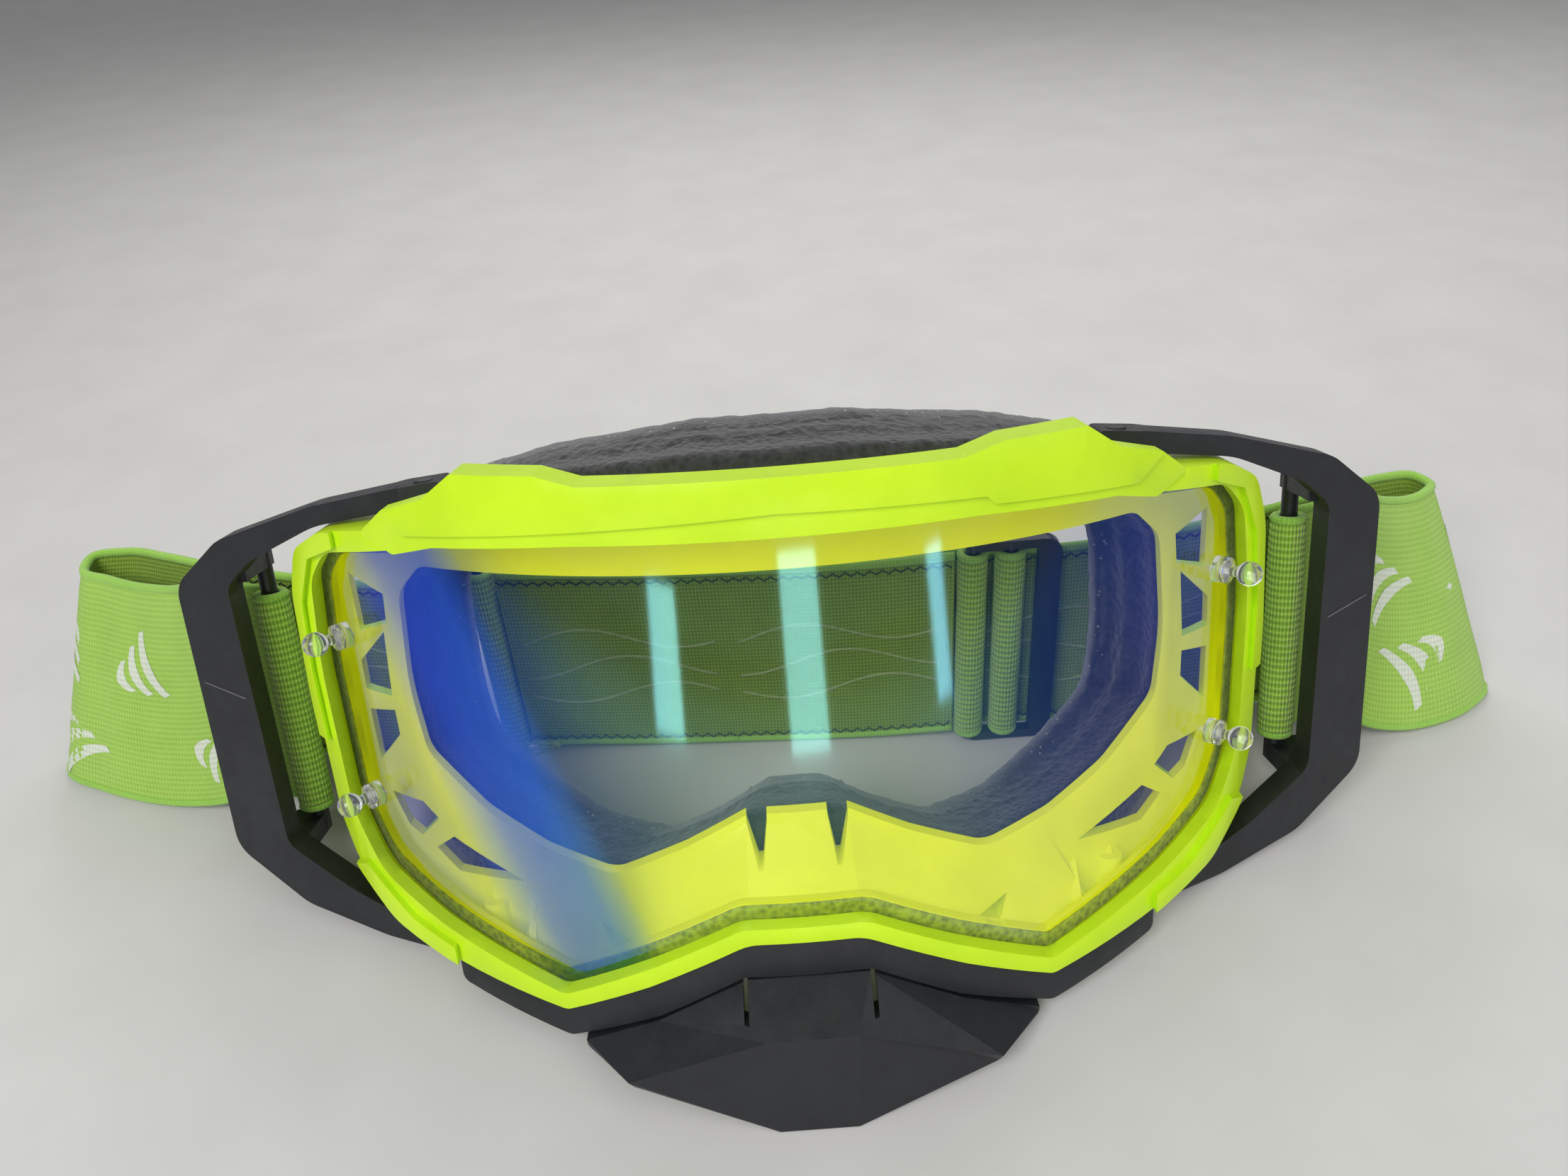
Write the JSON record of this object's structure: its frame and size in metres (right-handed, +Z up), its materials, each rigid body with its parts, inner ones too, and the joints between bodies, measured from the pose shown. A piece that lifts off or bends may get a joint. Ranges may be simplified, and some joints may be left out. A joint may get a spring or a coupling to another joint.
{
  "type": "motocross goggles",
  "caption": "Off-road goggles: a wrap lens in a vented frame with brow cover, nose guard, layered face foam, pivoting side arms and an elastic strap joined by sliding buckles.",
  "frame": {"origin": "centre of the bounding box at the height of the table the goggles stand on", "axes": "+X to the right seen from the front and along the longest extent, +Y from the lens towards the face and the strap, +Z up"},
  "size_m": [0.3186, 0.1166, 0.0982],
  "materials": {
    "frame_plastic": "satin fluorescent yellow-green polyurethane",
    "lens": "clear polycarbonate with a faint blue mirror coating",
    "clear_plastic": "clear moulded plastic",
    "gasket_foam": "thin closed-cell foam",
    "black_plastic": "fine matte moulded texture",
    "pin_plastic": "smooth moulded pins",
    "foam": "open-cell face foam",
    "fleece": "speckled fleece face layer",
    "buckle_plastic": "moulded nylon",
    "webbing": "ribbed elastic webbing with piped edges"
  },
  "bodies": {
    "eyepiece": {"brow_cover": "frame_plastic", "foam_base": "foam", "foam_fleece": "fleece", "foam_middle": "foam", "lens": "lens", "lens_gasket": "gasket_foam", "lower_trim_band": "black_plastic", "main_frame": "frame_plastic", "nose_guard": "black_plastic", "pivot_pin_lower_left": "pin_plastic", "pivot_pin_lower_right": "pin_plastic", "pivot_pin_upper_left": "pin_plastic", "pivot_pin_upper_right": "pin_plastic", "strap_left": "webbing", "strap_right": "webbing", "tear_off_post_lower_left": "clear_plastic", "tear_off_post_lower_right": "clear_plastic", "tear_off_post_upper_left": "clear_plastic", "tear_off_post_upper_right": "clear_plastic"},
    "outrigger_left": {"outrigger_left": "black_plastic", "strap_end_left": "webbing"},
    "outrigger_right": {"outrigger_right": "black_plastic", "strap_end_right": "webbing"},
    "adjuster": {"strap_adjuster": "buckle_plastic", "strap_wrap_right": "webbing", "strap_return_loop": "webbing", "strap_return": "webbing"},
    "joining_ring": {"joining_ring": "buckle_plastic", "strap_wrap_left": "webbing", "strap_left_loop": "webbing"}
  },
  "joints": [
    {"name": "outrigger_left_pivot", "type": "hinge", "parent": "eyepiece", "child": "outrigger_left", "pos_m": [-0.05011, -0.00576, 0.04645], "axis": [0, -0.342, -0.9397], "range_deg": [-8, 10], "deforming": ["strap_left"]},
    {"name": "outrigger_right_pivot", "type": "hinge", "parent": "eyepiece", "child": "outrigger_right", "pos_m": [0.06189, -0.00576, 0.04645], "axis": [0, 0.342, 0.9397], "range_deg": [-8, 10], "deforming": ["strap_right"]},
    {"name": "adjuster_slide", "type": "slide", "parent": "eyepiece", "child": "adjuster", "axis": [1, 0, 0], "range_m": [-0.018, 0.008], "deforming": ["strap_right", "strap_return", "strap_left"]},
    {"name": "joining_ring_slide", "type": "slide", "parent": "eyepiece", "child": "joining_ring", "axis": [1, 0, 0], "range_m": [-0.009, 0.004], "deforming": ["strap_left", "strap_right", "strap_return"]}
  ],
  "couplings": [
    {"joint": "joining_ring_slide", "follows": "adjuster_slide", "ratio": 0.5}
  ]
}
